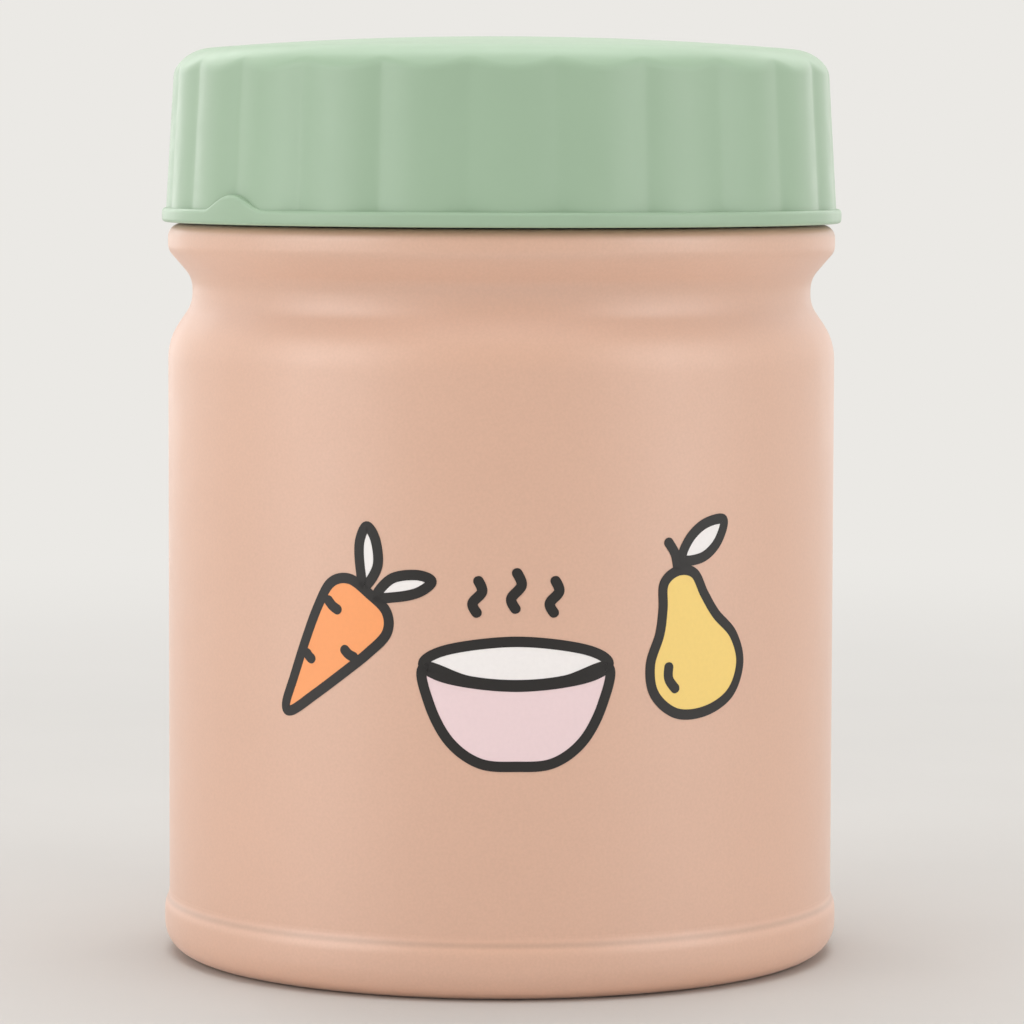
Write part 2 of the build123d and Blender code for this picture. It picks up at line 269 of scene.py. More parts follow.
@dataclass(frozen=True)
class SatinPaint(Finish):
    """Sprayed paint on steel, with a faint orange peel and fine dust in it.

    Attributes:
        peel: depth of the orange peel.
        peel_size: width of its lumps.
        speckle: how much lighter and darker the pigment's grains are.
    """

    peel: float = 0.004
    peel_size: float = 1.1
    speckle: float = 0.03

    def shader(self, graph: Graph) -> dict:
        """Drifting tone with pigment grains, uneven gloss and orange peel."""
        drift = graph.noise(size=26, detail=3)
        grain = graph.noise(size=0.35, detail=3)
        cloud = graph.tones(drift, self.colour, low=0.985, high=1.015)
        grains = graph.spread(grain, 1 - self.speckle, 1 + self.speckle)
        colour = graph.add("ShaderNodeVectorMath", {0: cloud, 1: grains}, operation="MULTIPLY")
        peel = graph.bump(graph.noise(self.peel_size, detail=1), self.peel)
        return {
            "Base Color": colour.outputs[0],
            "Roughness": self.uneven(graph, graph.noise(size=5, detail=3), 0.03, 0.03),
            "Normal": graph.bump(grain, self.peel / 4, peel),
            "IOR": 1.62,
            "Specular IOR Level": 0.85,
            "Sheen Weight": 0.2,
            "Sheen Roughness": 0.35,
        }


@dataclass(frozen=True)
class SeamShadedPaint(SatinPaint):
    """Paint with a painted shade: a soft darker line along the seam, standing in for the seam's
    shadow.

    Attributes:
        seam: height of the seam, in millimetres.
        reach: height over which the painted shade line fades on either side.
        shade: factor of the painted shade on the tone at the seam.
    """

    seam: float = 7.25
    reach: float = 0.65
    shade: float = 0.8

    def shader(self, graph: Graph) -> dict:
        """The paint with a soft line of painted shade along the seam."""
        sockets = super().shader(graph)
        # Painted shade: the colour is darkened in a soft band round the seam's height.
        height = graph.add("ShaderNodeSeparateXYZ", {0: graph.place}).outputs[2]
        apart = graph.maths("ABSOLUTE", graph.maths("SUBTRACT", height, self.seam * MM))
        span = {"Value": apart, "From Max": self.reach * MM, "To Min": self.shade}
        line = graph.add("ShaderNodeMapRange", span, interpolation_type="SMOOTHSTEP")
        mixed = {0: sockets["Base Color"], 1: line.outputs[0]}
        darker = graph.add("ShaderNodeVectorMath", mixed, operation="MULTIPLY")
        return {**sockets, "Base Color": darker.outputs[0]}


@dataclass(frozen=True)
class MouldedPlastic(Finish):
    """Injection moulded plastic with the fine etched grain of its mould.

    Attributes:
        grain: depth of the etched grain.
        flow: how much the tone drifts with the melt's flow.
    """

    grain: float = 0.0025
    flow: float = 0.012

    def shader(self, graph: Graph) -> dict:
        """Slow tone drift, etched grain and slightly uneven gloss."""
        etched = graph.noise(size=0.28, detail=3)
        slow = graph.bump(graph.noise(size=7, detail=2), self.grain * 3)
        drift = graph.noise(size=18, detail=2)
        return {
            "Base Color": graph.tones(drift, self.colour, 1 - self.flow, 1 + self.flow),
            "Roughness": self.uneven(graph, graph.noise(size=3, detail=3), 0.03, 0.03),
            "Normal": graph.bump(etched, self.grain, slow),
            "IOR": 1.49,
        }


@dataclass(frozen=True)
class SpunSteel(Finish):
    """Stainless steel with the fine rings of spinning and polishing.

    Attributes:
        groove: depth of the rings.
    """

    groove: float = 0.0012

    def shader(self, graph: Graph) -> dict:
        """Rings in tone, gloss and bump, under a slow cloud of wiping marks."""
        spun = graph.rings(drift=0.02)
        fine = graph.noise(size=0.3, detail=4, place=spun)
        broad = graph.noise(size=2.4, detail=3, place=spun)
        waves = graph.bump(graph.noise(size=9, detail=2), self.groove * 4)
        return {
            "Base Color": graph.tones(broad, self.colour, low=0.92, high=1.04),
            "Metallic": 1.0,
            "Roughness": self.uneven(graph, fine, 0.06, 0.08),
            "Normal": graph.bump(fine, self.groove, waves),
        }


@dataclass(frozen=True)
class Silicone(Finish):
    """Soft moulded silicone, matt and slightly see-through."""

    def shader(self, graph: Graph) -> dict:
        """Milky depth, faint mottling and a matt skin."""
        mottle = graph.noise(size=3, detail=3)
        return {
            "Base Color": graph.tones(mottle, self.colour, low=0.97, high=1.02),
            "Subsurface Weight": 0.15,
            "Subsurface Radius": (1.0, 0.9, 0.8),
            "Subsurface Scale": MM,
            "Normal": graph.bump(graph.noise(size=0.5, detail=3), depth=0.004),
            "IOR": 1.41,
        }


@dataclass(frozen=True)
class CrinkledFoil(Finish):
    """Aluminium foil, wrapped by hand and creased all over."""

    def shader(self, graph: Graph) -> dict:
        """Flat facets between sharp creases."""
        creased = graph.bump(graph.cells(size=6), depth=0.25)
        cloud = graph.noise(size=4, detail=4)
        return {
            "Base Color": graph.tones(cloud, self.colour, low=0.94, high=1.03),
            "Metallic": 1.0,
            "Normal": graph.bump(graph.cells(size=1.6), depth=0.05, normal=creased),
        }


@dataclass(frozen=True)
class Granular(Finish):
    """Pressed powder or cut foam, made of open grains.

    Attributes:
        grain_size: width of a grain or cell.
        relief: its depth.
    """

    grain_size: float = 0.5
    relief: float = 0.1

    def shader(self, graph: Graph) -> dict:
        """Grains in tone and bump."""
        grains = graph.cells(self.grain_size)
        return {
            "Base Color": graph.tones(grains, self.colour, low=1.06, high=0.82),
            "Normal": graph.bump(grains, self.relief),
        }


@dataclass(frozen=True)
class FusedGlass(Finish):
    """Bead of dark solder glass, smooth and wavy from melting."""

    def shader(self, graph: Graph) -> dict:
        """Dark streaks under a melted skin."""
        streaks = graph.noise(size=1.5, detail=3)
        return {
            "Base Color": graph.tones(streaks, self.colour, low=0.7, high=1.4),
            "Normal": graph.bump(graph.noise(size=2.5, detail=1), depth=0.05),
            "Coat Weight": 0.4,
            "IOR": 1.6,
        }


@dataclass(frozen=True)
class ScreenInk(Finish):
    """Screen printed ink, a thin even film with the screen's faint mottling."""

    def shader(self, graph: Graph) -> dict:
        """Mottled tone and a slightly stippled skin."""
        mottle = graph.noise(size=0.5, detail=3)
        return {
            "Base Color": graph.tones(mottle, self.colour, low=0.985, high=1.01),
            "Roughness": self.uneven(graph, mottle, 0.04, 0.04),
            "Normal": graph.bump(graph.noise(size=0.4, detail=2), depth=0.003),
            "IOR": 1.5,
        }


PEACH_PAINT = SatinPaint("peach_satin_paint", Slot.PAINT, (209, 166, 141), 0.42)
SEAM_SHADED_PAINT = SeamShadedPaint("peach_seam_shaded_paint", Slot.PAINT, PEACH_PAINT.colour, PEACH_PAINT.roughness)
SAGE_PLASTIC = MouldedPlastic("sage_moulded_plastic", Slot.LID, (152, 176, 149), 0.36)
GREY_PLASTIC = MouldedPlastic("grey_moulded_plastic", Slot.INNER_LID, (206, 207, 203), 0.4)
VALVE_PLASTIC = MouldedPlastic("valve_moulded_plastic", Slot.VALVE, (166, 170, 172), 0.38)
BOTTLE_STEEL = SpunSteel("spun_steel", Slot.STEEL, (205, 202, 197), 0.27)
SEAL_SILICONE = Silicone("seal_silicone", Slot.SILICONE, (224, 223, 217), 0.5)
WRAP_FOIL = CrinkledFoil("wrap_foil", Slot.FOIL, (216, 218, 220), 0.18)
PORT_GLASS = FusedGlass("port_solder_glass", Slot.GLASS, (70, 60, 54), 0.12)
GETTER_METAL = Granular("sintered_getter", Slot.GETTER, (92, 93, 96), 0.7, 0.25, 0.05)
RIGID_FOAM = Granular("rigid_foam", Slot.FOAM, (238, 234, 222), 0.85, 0.6, 0.15)
OUTLINE_INK = ScreenInk("outline_ink", None, (24, 20, 18), 0.42)
ORANGE_INK = ScreenInk("orange_ink", None, (244, 158, 98), 0.42)
YELLOW_INK = ScreenInk("yellow_ink", None, (238, 204, 116), 0.42)
WHITE_INK = ScreenInk("white_ink", None, (236, 231, 228), 0.42)
PINK_INK = ScreenInk("pink_ink", None, (230, 205, 206), 0.42)


# ---- Surfaces -----------------------------------------------------------------------------------
def linked(item: bpy.types.Object) -> bpy.types.Object:
    """Links an object into the scene and gives it back."""
    bpy.context.scene.collection.objects.link(item)
    return item


@dataclass
class Surface:
    """Closed surface in millimetres.

    Attributes:
        points: one row for each point.
        quads: four-sided faces.
        triangles: three-sided faces.
    """

    points: Array
    quads: Array
    triangles: Array

    @classmethod
    def closed(cls, grid: Array, ends: bool) -> "Surface":
        """Closes a grid of points.

        Each row is a closed loop and is joined to the next by four-sided faces. The last row is
        joined to the first, or both get a fan of triangles to their middle.

        Args:
            grid: points, rows by columns by three.
            ends: True for a surface with two ends, False for one that runs back into itself.

        Returns:
            The surface, its faces outwards.
        """
        poles = [grid[0].mean(axis=0), grid[-1].mean(axis=0)]
        if ends:
            keep = np.ptp(grid, axis=1).max(axis=1) > SAME_POINT
            grid = grid[keep]
        rows, columns = grid.shape[:2]
        index = np.arange(rows * columns).reshape(rows, columns)
        beside = np.roll(index, -1, axis=1)
        below = index[1:] if ends else np.roll(index, -1, axis=0)
        corner = beside[1:] if ends else np.roll(beside, -1, axis=0)
        last = rows - 1 if ends else rows
        quads = np.stack((index[:last], beside[:last], corner, below), axis=-1).reshape(-1, 4)
        points = grid.reshape(-1, 3)
        triangles = np.zeros((0, 3), int)
        if ends:
            first, final = len(points), len(points) + 1
            points = np.vstack((points, *poles))
            start = np.stack((np.full(columns, first), beside[0], index[0]), axis=-1)
            end = np.stack((np.full(columns, final), index[-1], beside[-1]), axis=-1)
            triangles = np.vstack((start, end))
        return cls(points, quads, triangles).outward()

    @classmethod
    def joined(cls, parts: Sequence["Surface"]) -> "Surface":
        """Puts several surfaces into one.

        Args:
            parts: the surfaces.

        Returns:
            One surface with all their points and faces.
        """
        starts = np.cumsum([0] + [len(part.points) for part in parts])
        quads = [part.quads + start for part, start in zip(parts, starts)]
        triangles = [part.triangles + start for part, start in zip(parts, starts)]
        points = np.vstack([part.points for part in parts])
        return cls(points, np.vstack(quads), np.vstack(triangles))

    def outward(self) -> "Surface":
        """Turns the faces outwards, by the sign of the volume that they enclose.

        Each triangle adds a sixth of its first corner times the cross product of the other two.

        Returns:
            The surface itself.
        """
        halves = (self.quads[:, [0, 1, 2]], self.quads[:, [0, 2, 3]], self.triangles)
        first, second, third = (self.points[np.vstack(halves)[:, side]] for side in range(3))
        if np.einsum("ij,ij->", first, np.cross(second, third)) < 0:
            self.quads = self.quads[:, ::-1]
            self.triangles = self.triangles[:, ::-1]
        return self

    def item(self, name: str, material: bpy.types.Material) -> bpy.types.Object:
        """Makes the surface an object.

        Args:
            name: the object's name.
            material: its material.

        Returns:
            The new object, at the origin.
        """
        mesh = bpy.data.meshes.new(name)
        faces = [*self.quads.tolist(), *self.triangles.tolist()]
        mesh.from_pydata((self.points * MM).tolist(), [], faces)
        mesh.materials.append(material)
        return linked(bpy.data.objects.new(name, mesh))

    def piece(
        self,
        name: str,
        body: Body,
        finish: Finish,
        replaces: Sequence[str] = (),
        crease: float = 32.0,
    ) -> bpy.types.Object:
        """Makes the surface a finished piece.

        Args:
            name: the piece's name.
            body: body that it rides on.
            finish: its finish.
            replaces: CAD nodes that it stands for.
            crease: edges sharper than this many degrees stay sharp.

        Returns:
            The new object, at the origin.
        """
        item = self.item(name, finish.material())
        item.data.validate()
        item.data.shade_smooth()
        item.data.set_sharp_from_angle(angle=math.radians(crease))
        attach(item, body.value)
        if replaces:
            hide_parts(*replaces)
        LOG.info("%s: %d faces on %s", name, len(item.data.polygons), body.value)
        return item


def around(radius: Array, height: Array, angle: Array) -> Array:
    """Points round Z: x is radius times sine, y is minus radius times cosine, z is height."""
    radius, height, angle = np.broadcast_arrays(radius, height, angle)
    return np.stack((radius * np.sin(angle), -radius * np.cos(angle), height), axis=-1)


def shares(rows: int, first: int = 1) -> Array:
    """Even shares from 0 to 1 as a column, from the given row on."""
    return np.linspace(0, 1, rows)[first:, None]


def turn_angles(columns: int) -> Array:
    """Even angles of one turn, as a row."""
    return np.linspace(0, FULL_TURN, columns, endpoint=False)[None, :]


def turned(profile: Array, columns: int = 288) -> Surface:
    """Turns a profile about Z: one that starts and ends on it closes in poles, others are loops."""
    grid = around(profile[:, :1], profile[:, 1:], turn_angles(columns))
    return Surface.closed(grid, ends=bool(profile[[0, -1], 0].max() < SAME_POINT))


def rounded(*corners: Corner, loop: bool = False) -> Array:
    """Line through corners, with a tangent arc at each corner that has a rounding.

    The arc's centre lies on the corner's bisector, at the rounding divided by the sine of half the
    angle.

    Args:
        *corners: each of (radius, height) or (radius, height, rounding).
        loop: whether the last corner is joined to the first.

    Returns:
        Points of the line.
    """
    parts = []
    for index, corner in enumerate(corners):
        point = np.array(corner[:2], float)
        inside = loop or 0 < index < len(corners) - 1
        if len(corner) < 3 or not inside:
            parts.append(point[None])
            continue
        back = np.array(corners[index - 1][:2]) - point
        ahead = np.array(corners[(index + 1) % len(corners)][:2]) - point
        back, ahead = back / np.linalg.norm(back), ahead / np.linalg.norm(ahead)
        half = math.acos(float(np.clip(back @ ahead, -1, 1))) / 2
        middle = (back + ahead) / np.linalg.norm(back + ahead)
        radius = corner[2]
        centre = point + middle * radius / math.sin(half)
        reach = radius / math.tan(half)
        start, end = (point + side * reach - centre for side in (back, ahead))
        first, last = (math.atan2(arm[1], arm[0]) for arm in (start, end))
        sweep = (last - first + math.pi) % FULL_TURN - math.pi
        steps = 2 + math.ceil(abs(sweep) * (ARC_STEPS + ARC_GROWTH * math.sqrt(radius)))
        angle = first + sweep * np.linspace(0, 1, steps)[:, None]
        parts.append(centre + radius * np.hstack((np.cos(angle), np.sin(angle))))
    return np.vstack(parts)


def sheet(line: Array, wall: float) -> Array:
    """Gives a line a wall on its left.

    The line comes first, then the way back along it, moved by the wall along its normals.

    Args:
        line: points of radius and height.
        wall: thickness.

    Returns:
        Closed loop of points.
    """
    along = np.gradient(line, axis=0)
    along /= np.linalg.norm(along, axis=1, keepdims=True)
    normal = np.stack((-along[:, 1], along[:, 0]), axis=1)
    return np.vstack((line, (line + normal * wall)[::-1]))


def smooth_step(share: Array) -> Array:
    """Eases from 0 to 1: three times the square less twice the cube."""
    share = np.clip(share, 0, 1)
    return share * share * (3 - 2 * share)


@dataclass(frozen=True)
class Thread:
    """Screw thread of several short beads, whose middles climb by the lead in a full turn.

    Attributes:
        foot: height of each bead's middle at its start.
        first: degrees from the front to the first bead's start.
        sweep: degrees that a bead runs.
        half_width: half of a bead's width.
        crest: how far it stands out.
        lead: climb in a full turn.
        starts: number of beads.
        taper: degrees over which an end fades.
        cut: degrees that a loose bead lacks at either end.
        sunk: how deep a loose bead's back lies in the wall.
        rows: sections along a loose bead.
        columns: points across it.
    """

    foot: float
    first: float
    sweep: float
    half_width: float
    crest: float
    lead: float = 9.0
    starts: int = 3
    taper: float = 9.0
    cut: float = 0.4
    sunk: float = 0.5
    rows: int = 72
    columns: int = 13

    def ends(self, along: Array) -> Array:
        """Fading of a bead at degrees from its start, 1 in its run and 0 at its ends."""
        return smooth_step(np.minimum(along, self.sweep - along) / self.taper)

    def swell(self, height: Array, angle: Array) -> Array:
        """How far a wall swells out.

        It is the crest, times the squared cosine across the bead, times the bead's fading.

        Args:
            height: heights of the points.
            angle: their angles in radians.

        Returns:
            Swelling in millimetres.
        """
        along = (np.degrees(angle) - self.first) % (360 / self.starts)
        across = np.abs(height - self.foot - self.lead * along / 360) / self.half_width
        return self.crest * np.cos(np.clip(across, 0, 1) * math.pi / 2) ** 2 * self.ends(along)

    def beads(self, root: float) -> Surface:
        """Beads on the inside of a wall.

        Each section is the same squared cosine with a back in the wall.

        Args:
            root: radius of the wall.

        Returns:
            The beads in one surface.
        """
        along = np.linspace(self.cut, self.sweep - self.cut, self.rows)[:, None]
        across = np.append(np.linspace(-1, 1, self.columns), (1, -1))[None, :]
        back = np.append(np.zeros(self.columns), (1, 1))[None, :]
        reach = self.crest * np.cos(across * math.pi / 2) ** 2 * self.ends(along)
        radius = root - reach * (1 - back) + self.sunk * back
        height = self.foot + self.lead * along / 360 + across * self.half_width
        starts = self.first + 360 / self.starts * np.arange(self.starts)
        grids = [around(radius, height, np.radians(along + start)) for start in starts]
        return Surface.joined([Surface.closed(grid, ends=True) for grid in grids])


def dress(finish: Finish, *nodes: str) -> None:
    """Gives CAD nodes a finish.

    Args:
        finish: the finish.
        *nodes: names of the nodes.
    """
    for name in nodes:
        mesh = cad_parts[name].data
        mesh.materials.clear()
        mesh.materials.append(finish.material())
        LOG.info("%s: %s", name, finish.name)


# ---- Jar ----------------------------------------------------------------------------------------
@dataclass(frozen=True)
class Jar:
    """Double-walled steel jar: painted shell and base cup, bare threaded neck and food bottle."""

    body_radius: float = 44.0
    shell_wall: float = 0.5
    shell_foot: float = 3.6
    waist_radius: float = 40.8
    waist_low: float = 85.85
    waist_high: float = 89.2
    lower_flank: float = 4.7
    upper_flank: float = 3.7
    waist_rounds: tuple[float, ...] = (8.2, 4.3, 3.7, 2.0)
    shoulder: float = 96.35
    shoulder_round: float = 1.75
    paint_edge: float = 40.6
    neck_radius: float = 39.4
    neck_foot: float = 97.0
    neck_foot_round: float = 0.7
    neck_low: float = 97.35
    neck_rows: int = 64
    neck_step: float = 0.1
    rim: float = 111.8
    rim_round: float = 1.0
    lip_radius: float = 36.9
    base_radius: float = 44.6
    base_band: float = 7.1
    base_sheet: float = 0.5
    base_edge_round: float = 4.0
    lip_foot: float = 6.3
    lip_foot_round: float = 3.0
    lip_head: float = 7.8
    lip_head_round: float = 1.5
    paint_film: float = 0.02
    paint_run: float = 1.2
    recess_radius: float = 37.0
    recess_slope: float = 1.5
    recess_depth: float = 1.6
    recess_round: float = 0.8
    recess_shift: float = 0.35
    recess_back_round: float = 0.3
    liner_wall: float = 0.4
    liner_floor: float = 13.4
    liner_floor_round: float = 9.0
    liner_radius: float = 38.6
    liner_top: float = 92.0
    liner_top_round: float = 4.0
    throat_radius: float = 34.8
    throat_low: float = 97.2
    throat_high: float = 98.6
    throat_round: float = 0.7
    seal_step: float = 100.4
    seal_step_round: float = 0.9
    weld_radius: float = 0.28
    weld_depth: float = 0.16
    weld_sides: int = 12
    thread: Thread = Thread(foot=101.6, first=20.0, sweep=98.0, half_width=1.15, crest=1.1)

    def painted_shell(self) -> Surface:
        """Shell from its foot over the waist to the paint's edge on the shoulder.

        Returns:
            Sheet turned about Z.
        """
        rounds = self.waist_rounds
        line = rounded(
            (self.body_radius, self.shell_foot),
            (self.body_radius, self.waist_low - self.lower_flank, rounds[0]),
            (self.waist_radius, self.waist_low, rounds[1]),
            (self.waist_radius, self.waist_high, rounds[2]),
            (self.body_radius, self.waist_high + self.upper_flank, rounds[3]),
            (self.body_radius, self.shoulder, self.shoulder_round),
            (self.paint_edge, self.shoulder),
        )
        return turned(sheet(line, self.shell_wall), columns=360)

    def neck(self) -> Surface:
        """Bare neck with its rolled thread, from the paint's edge to the lip.

        The wall between the foot's and the rim's roundings swells by the thread, inside as outside.

        Returns:
            Sheet turned about Z.
        """
        foot = rounded(
            (self.paint_edge, self.shoulder),
            (self.neck_radius, self.shoulder, self.neck_foot_round),
            (self.neck_radius, self.neck_foot),
        )
        rim = rounded(
            (self.neck_radius, self.rim - self.rim_round - self.neck_step),
            (self.neck_radius, self.rim, self.rim_round),
            (self.lip_radius, self.rim),
        )
        high = self.rim - self.rim_round - 2 * self.neck_step
        heights = np.linspace(self.neck_low, high, self.neck_rows)[:, None]
        wall = np.hstack((np.full_like(heights, self.neck_radius), heights))
        profile = sheet(np.vstack((foot[:-1], wall, rim)), self.shell_wall)
        angle = turn_angles(columns=432)
        half_wall = self.shell_wall / 2
        off = np.abs(profile[:, :1] - self.neck_radius + half_wall)
        upright = off < half_wall + self.neck_step / 2
        radius = profile[:, :1] + upright * self.thread.swell(profile[:, 1:], angle)
        return Surface.closed(around(radius, profile[:, 1:], angle), ends=False)

    def base_cup(self) -> Surface:
        """Pressed cup over the shell's foot: band, rounded edge, standing ring and recess.

        The cup's upper lip leans in to the shell, and the paint runs out over the seam in a thin
        film.

        Returns:
            Sheet turned about Z.
        """
        ring = self.recess_radius + self.recess_slope
        shift, back_round = self.recess_shift, self.recess_back_round
        inner = self.base_radius - self.base_sheet
        film = self.body_radius + self.paint_film
        end = self.base_band + self.paint_run
        line = rounded(
            (0, self.recess_depth),
            (self.recess_radius, self.recess_depth, self.recess_round),
            (ring, 0, self.recess_round),
            (self.base_radius, 0, self.base_edge_round),
            (self.base_radius, self.lip_foot, self.lip_foot_round),
            (film, self.lip_head, self.lip_head_round),
            (film, end, self.paint_film / 2),
            (self.body_radius - self.paint_film, end),
            (self.body_radius - self.paint_film, self.lip_head),
            (inner, self.lip_foot),
            (inner, self.base_sheet, self.base_edge_round - self.base_sheet),
            (ring + shift, self.base_sheet, back_round),
            (self.recess_radius + shift, self.recess_depth + self.base_sheet, back_round),
            (0, self.recess_depth + self.base_sheet),
        )
        return turned(line, columns=360)

    def food_bottle(self) -> Surface:
        """Food bottle: rounded floor, wall, throat, sealing step and mouth.

        Returns:
            Sheet turned about Z.
        """
        mouth = self.lip_radius - self.liner_wall
        line = rounded(
            (0, self.liner_floor),
            (self.liner_radius, self.liner_floor, self.liner_floor_round),
            (self.liner_radius, self.liner_top, self.liner_top_round),
            (self.throat_radius, self.throat_low, self.throat_round),
            (self.throat_radius, self.throat_high, self.throat_round),
            (mouth, self.seal_step, self.seal_step_round),
            (mouth, self.rim),
        )
        return turned(sheet(line, -self.liner_wall))

    def rim_weld(self) -> Surface:
        """Weld that joins shell and bottle round the rim, a small bead.

        Returns:
            Ring of round section.
        """
        angle = turn_angles(self.weld_sides).T[::-1]
        circle = self.weld_radius * np.hstack((np.cos(angle), np.sin(angle)))
        return turned(circle + (self.lip_radius, self.rim - self.weld_depth))

    def build(self) -> None:
        """Builds the jar's pieces and dresses the pieces sealed inside it."""
        self.painted_shell().piece("painted_shell", Body.JAR, PEACH_PAINT, ["outer_shell"])
        self.neck().piece("threaded_neck", Body.JAR, BOTTLE_STEEL, ["outer_shell"])
        # The base cup's paint carries a painted shade line along the seam.
        self.base_cup().piece("base_cup", Body.JAR, SEAM_SHADED_PAINT, ["base_cover"])
        self.food_bottle().piece("food_bottle", Body.JAR, BOTTLE_STEEL, ["inner_bottle"])
        self.rim_weld().piece("rim_weld", Body.JAR, BOTTLE_STEEL)
        dress(BOTTLE_STEEL, "vacuum_base", "getter_cup")
        dress(PORT_GLASS, "port_glass")
        dress(WRAP_FOIL, "foil_wrap", "foil_disc")
        dress(GETTER_METAL, "getter_pellet")


# ---- Print --------------------------------------------------------------------------------------
def through(points: Line, closed: bool, samples: int = 12) -> Array:
    """Smooth curve through points.

    Between two points it is the cubic that leaves each of them along the line that joins its
    neighbours.

    Args:
        points: points of the drawing, right and up.
        closed: whether the curve closes.
        samples: steps from one point to the next.

    Returns:
        Points of the curve.
    """
    knots = np.array(points, float)
    before, after = np.roll(knots, 1, axis=0), np.roll(knots, -1, axis=0)
    if not closed:
        before[0], after[-1] = knots[0], knots[-1]
    pull = (after - before) / 2
    goal, goal_pull = np.roll(knots, -1, axis=0), np.roll(pull, -1, axis=0)
    share = np.linspace(0, 1, samples, endpoint=False)[None, :, None]
    square, cube = share**2, share**3
    curve = (
        (2 * cube - 3 * square + 1) * knots[:, None]
        + (cube - 2 * square + share) * pull[:, None]
        + (3 * square - 2 * cube) * goal[:, None]
        + (cube - square) * goal_pull[:, None]
    )
    if closed:
        return curve.reshape(-1, 2)
    return np.vstack((curve[:-1].reshape(-1, 2), knots[-1:]))


@dataclass(frozen=True)
class Film:
    """Thin film of ink on the jar's wall.

    Attributes:
        wall: radius of the wall.
        height: how far the film's face stands out from it.
        root: how deep the film's back lies in it.
        rings: rings of a filled area.
        ribs: points across a line.
    """

    wall: float
    height: float
    root: float = 0.03
    rings: int = 9
    ribs: int = 5

    def wrap(self, drawing: Array, depth: Array) -> Array:
        """Lays a drawing round the wall, with right as arc length; depth runs from face to back."""
        radius = self.wall + self.height - depth * (self.height + self.root)
        return around(radius, drawing[..., 1], drawing[..., 0] / self.wall)

    def fill(self, edge: Array) -> Surface:
        """Fills an outline: rings grow from the middle to the edge, on the face and on the back.

        Args:
            edge: closed outline, seen whole from its middle.

        Returns:
            The film.
        """
        middle = edge.mean(axis=0)
        share = np.append(np.linspace(0, 1, self.rings), (1, 0))[:, None, None]
        depth = np.append(np.zeros(self.rings), (1, 1))[:, None]
        return Surface.closed(self.wrap(middle + share * (edge - middle), depth), ends=True)

    def stroke(self, path: Array, width: float, closed: bool) -> Surface:
        """Draws a line: points to both sides of the path, along its normals.

        The half width at an open end is that of a half circle, by the run that is left.

        Args:
            path: points of the line.
            width: its width.
            closed: whether the line closes.

        Returns:
            The film.
        """
        if closed:
            along = np.roll(path, -1, axis=0) - np.roll(path, 1, axis=0)
            half = np.full(len(path), width / 2)
        else:
            along = np.gradient(path, axis=0)
            run = np.append(0, np.cumsum(np.linalg.norm(np.diff(path, axis=0), axis=1)))
            left = np.clip(np.minimum(run, run[-1] - run) / (width / 2), 0, 1)
            half = width / 2 * np.sqrt(np.clip(1 - (1 - left) ** 2, 0, 1))
        along = along / np.linalg.norm(along, axis=1, keepdims=True)
        normal = np.stack((-along[:, 1], along[:, 0]), axis=1)
        across = np.append(np.linspace(-1, 1, self.ribs), (1, -1))
        depth = np.append(np.zeros(self.ribs), (1, 1))[None, :]
        drawing = path[:, None] + normal[:, None] * half[:, None, None] * across[None, :, None]
        return Surface.closed(self.wrap(drawing, depth), ends=not closed)


@dataclass(frozen=True)
class Motif:
    """Small picture printed on the jar's wall.

    Attributes:
        name: start of its pieces' names.
        place: its middle, arc length right of the front's middle and height.
        tilt: degrees that it is turned by, anticlockwise.
        areas: for each ink, the outlines that it fills.
        lines: open lines of the outline ink.
    """

    name: str
    place: tuple[float, float]
    tilt: float
    areas: tuple[tuple[Finish, tuple[Line, ...]], ...]
    lines: tuple[Line, ...]

    def placed(self, curve: Array) -> Array:
        """Turns a curve by the tilt and moves it to the motif's place."""
        cos, sin = math.cos(math.radians(self.tilt)), math.sin(math.radians(self.tilt))
        return curve @ np.array(((cos, sin), (-sin, cos))) + self.place

    def build(self, fill: Film, outline: Film, width: float) -> None:
        """Prints the motif: its filled areas, then all its outlines and lines.

        Args:
            fill: film of the areas.
            outline: film of the lines, over them.
            width: width of the lines.
        """
        strokes = []
        for finish, shapes in self.areas:
            edges = [self.placed(through(shape, closed=True)) for shape in shapes]
            areas = Surface.joined([fill.fill(edge) for edge in edges])
            areas.piece(f"{self.name}_{finish.name}", Body.JAR, finish)
            strokes += [outline.stroke(edge, width, closed=True) for edge in edges]
        for line in self.lines:
            path = self.placed(through(line, closed=False, samples=16))
            strokes.append(outline.stroke(path, width, closed=False))
        Surface.joined(strokes).piece(f"{self.name}_lines", Body.JAR, OUTLINE_INK)


CARROT = Motif(
    name="carrot",
    place=(-21.5, 45.0),
    tilt=-38.0,
    areas=(
        (
            ORANGE_INK,
            (
                (
                    (0, 7.6), (3.2, 7.3), (4.9, 5.2), (4.5, 1.6), (3.3, -3.0), (1.9, -7.6),
                    (0.5, -11.4), (-0.7, -11.4), (-1.9, -7.6), (-3.3, -3.0), (-4.5, 1.6),
                    (-4.9, 5.2), (-3.2, 7.3),
                ),
            ),
        ),
        (
            WHITE_INK,
            (
                ((-1.0, 8.0), (-2.9, 9.4), (-4.9, 11.8), (-5.4, 14.0), (-3.4, 13.4), (-1.2, 11.0)),
                ((1.0, 8.0), (2.9, 9.4), (4.9, 11.8), (5.4, 14.0), (3.4, 13.4), (1.2, 11.0)),
            ),
        ),
    ),
    lines=(
        ((-4.4, 3.4), (-2.9, 3.1), (-1.5, 3.3)),
        ((3.9, 0.2), (2.6, -0.2), (1.2, 0.0)),
        ((-2.7, -3.9), (-1.6, -4.2), (-0.6, -4.1)),
    ),
)
